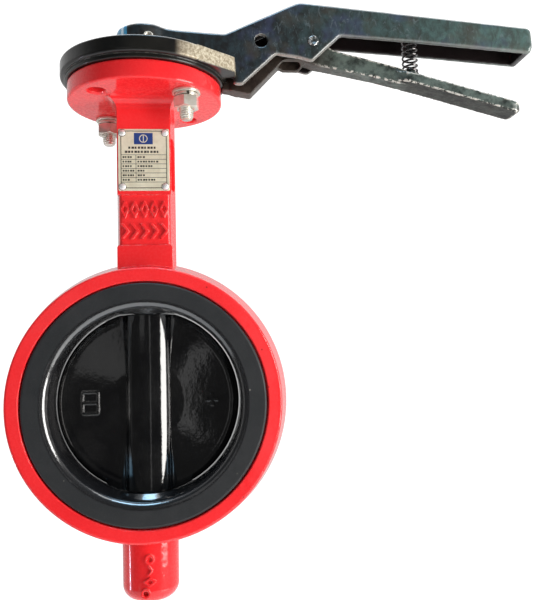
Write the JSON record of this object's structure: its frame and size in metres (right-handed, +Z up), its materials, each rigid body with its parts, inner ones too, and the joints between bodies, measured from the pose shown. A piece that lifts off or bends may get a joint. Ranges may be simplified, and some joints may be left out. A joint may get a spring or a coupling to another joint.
{
  "type": "butterfly valve",
  "caption": "Wafer butterfly valve with a rubber-lined round body, a disc on a vertical stem and a notched hand lever with a spring trigger.",
  "frame": {"origin": "where the pipe axis crosses the stem axis, at the centre of the disc", "axes": "+Z up the stem towards the lever, +Y along the pipe away from the nameplate, +X the way the lever points when the valve is closed"},
  "size_m": [0.3157, 0.1022, 0.344],
  "materials": {
    "red_paint": "glossy enamel over cast iron",
    "black_rubber": "matt moulded EPDM",
    "disc_coating": "glossy black coating over cast iron",
    "stem_steel": "turned stainless steel",
    "bronze": "turned bronze",
    "white_ptfe": "smooth PTFE",
    "spring_steel": "oiled dark spring steel",
    "zinc_plate": "bright zinc plate",
    "black_paint": "semi-gloss black paint over cast iron",
    "nameplate_alloy": "satin etched aluminium",
    "rivet_alloy": "bright aluminium",
    "lever_paint": "thin glossy black paint, mottled blue-green",
    "pin_steel": "peened bright steel",
    "trigger_paint": "rough cast iron under black paint"
  },
  "bodies": {
    "valve_body": {"body_casting": "red_paint", "seat_liner": "black_rubber", "upper_bush": "bronze", "middle_bush": "bronze", "bottom_bush": "bronze", "thrust_pad": "white_ptfe", "stem_o_rings": "black_rubber", "retainer_washer": "zinc_plate", "notch_plate": "black_paint", "plate_bolts": "zinc_plate", "head_washers": "zinc_plate", "flange_washers": "zinc_plate", "spring_washers": "zinc_plate", "plate_nuts": "zinc_plate", "nameplate": "nameplate_alloy", "nameplate_rivets": "rivet_alloy"},
    "lever_set": {"lever_handle": "lever_paint", "hub_screw": "zinc_plate", "stem": "stem_steel", "disc": "disc_coating", "retaining_ring": "spring_steel", "pivot_pin": "pin_steel", "return_spring": "spring_steel"},
    "latch_trigger": {"trigger": "trigger_paint"}
  },
  "joints": [
    {"name": "lever_turn", "type": "hinge", "parent": "valve_body", "child": "lever_set", "pos_m": [0, 0, 0], "axis": [0, 0, 1], "range_deg": [0, 90]},
    {"name": "trigger_squeeze", "type": "hinge", "parent": "lever_set", "child": "latch_trigger", "pos_m": [0.1001, 0, 0.2103], "axis": [0, -1, 0], "range_deg": [0, 9], "stiffness_Nm_per_rad": 11.5, "springref_deg": -7.45, "deforming": ["return_spring"]}
  ]
}
